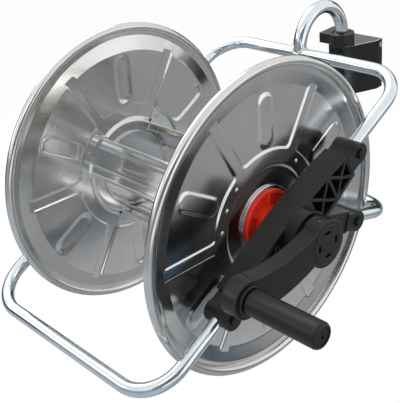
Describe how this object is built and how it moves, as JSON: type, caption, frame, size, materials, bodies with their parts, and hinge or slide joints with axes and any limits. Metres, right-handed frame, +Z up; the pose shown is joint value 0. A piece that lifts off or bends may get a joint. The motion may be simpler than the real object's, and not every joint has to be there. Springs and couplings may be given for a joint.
{
  "type": "wall mounted hose reel",
  "caption": "Swivelling wall hose reel: pressed steel drum turned by a side crank in a bent tube frame, hung by a hooked tube in a wall bracket.",
  "frame": {"origin": "centre of the wall plate's bolt pattern, on the wall plane", "axes": "+X along the drum's axis towards the crank, +Y into the wall, +Z up"},
  "size_m": [0.5222, 0.6051, 0.3799],
  "materials": {
    "bracket_paint": "gloss black paint on bent sheet steel",
    "black_plastic": "fine-grained black moulded plastic",
    "bearing_plastic": "smooth dark grey bearing plastic",
    "tube_chrome": "bright chrome-like plating on round steel tube",
    "zinc_sheet": "bright galvanised pressed sheet steel",
    "zinc_strip": "smooth bright galvanised steel strip and plate",
    "hub_red": "red moulded plastic",
    "bright_steel": "bright zinc-plated steel",
    "black_steel": "blackened steel",
    "fitting_brass": "turned brass",
    "seal_rubber": "black rubber",
    "grip_plastic": "satin dark grey plastic"
  },
  "bodies": {
    "wall_bracket": {"wall_plate": "bracket_paint", "swivel_housing": "bracket_paint", "housing_screws": "bright_steel", "top_bushing": "black_plastic", "bottom_bushing": "black_plastic"},
    "reel_frame": {"swivel_hook": "tube_chrome", "hook_collar": "black_steel", "hook_end_cap": "black_plastic", "upper_frame_tube": "tube_chrome", "front_frame_tube": "tube_chrome", "lower_frame_tube": "tube_chrome", "crank_side_bracket": "black_plastic", "inlet_side_bracket": "black_plastic", "clamp_bolts": "black_steel", "clamp_nuts": "black_steel", "crank_bush": "bearing_plastic", "inlet_bush": "bearing_plastic", "inlet_elbow": "black_plastic", "elbow_screws": "black_steel", "inlet_plug": "fitting_brass"},
    "drum": {"crank_disc": "zinc_sheet", "inlet_disc": "zinc_sheet", "spacer_1": "zinc_strip", "spacer_2": "zinc_strip", "spacer_3": "zinc_strip", "spacer_rivets": "bright_steel", "drive_hub": "hub_red", "drive_hub_plate": "zinc_strip", "drive_hub_ring": "bright_steel", "inlet_hub": "hub_red", "inlet_hub_plate": "zinc_strip", "inlet_hub_ring": "bright_steel", "crank_shaft": "bright_steel", "crank_washer": "bearing_plastic", "inlet_spindle": "fitting_brass", "seal_rings": "seal_rubber", "hose_outlet": "bearing_plastic", "crank_arm": "black_plastic", "crank_pin": "bright_steel", "grip_spindle": "bright_steel", "spindle_clip": "bright_steel"},
    "grip": {"crank_grip": "grip_plastic", "grip_cap": "grip_plastic"}
  },
  "joints": [
    {"name": "swivel", "type": "hinge", "parent": "wall_bracket", "child": "reel_frame", "pos_m": [0, -0.047, 0], "axis": [0, 0, 1], "range_deg": [-35, 35]},
    {"name": "drum_spin", "type": "hinge", "parent": "reel_frame", "child": "drum", "pos_m": [0.013, -0.37368, -0.05212], "axis": [1, 0, 0], "continuous": true},
    {"name": "grip_spin", "type": "hinge", "parent": "drum", "child": "grip", "pos_m": [0.263, -0.49868, -0.05212], "axis": [1, 0, 0], "continuous": true}
  ]
}
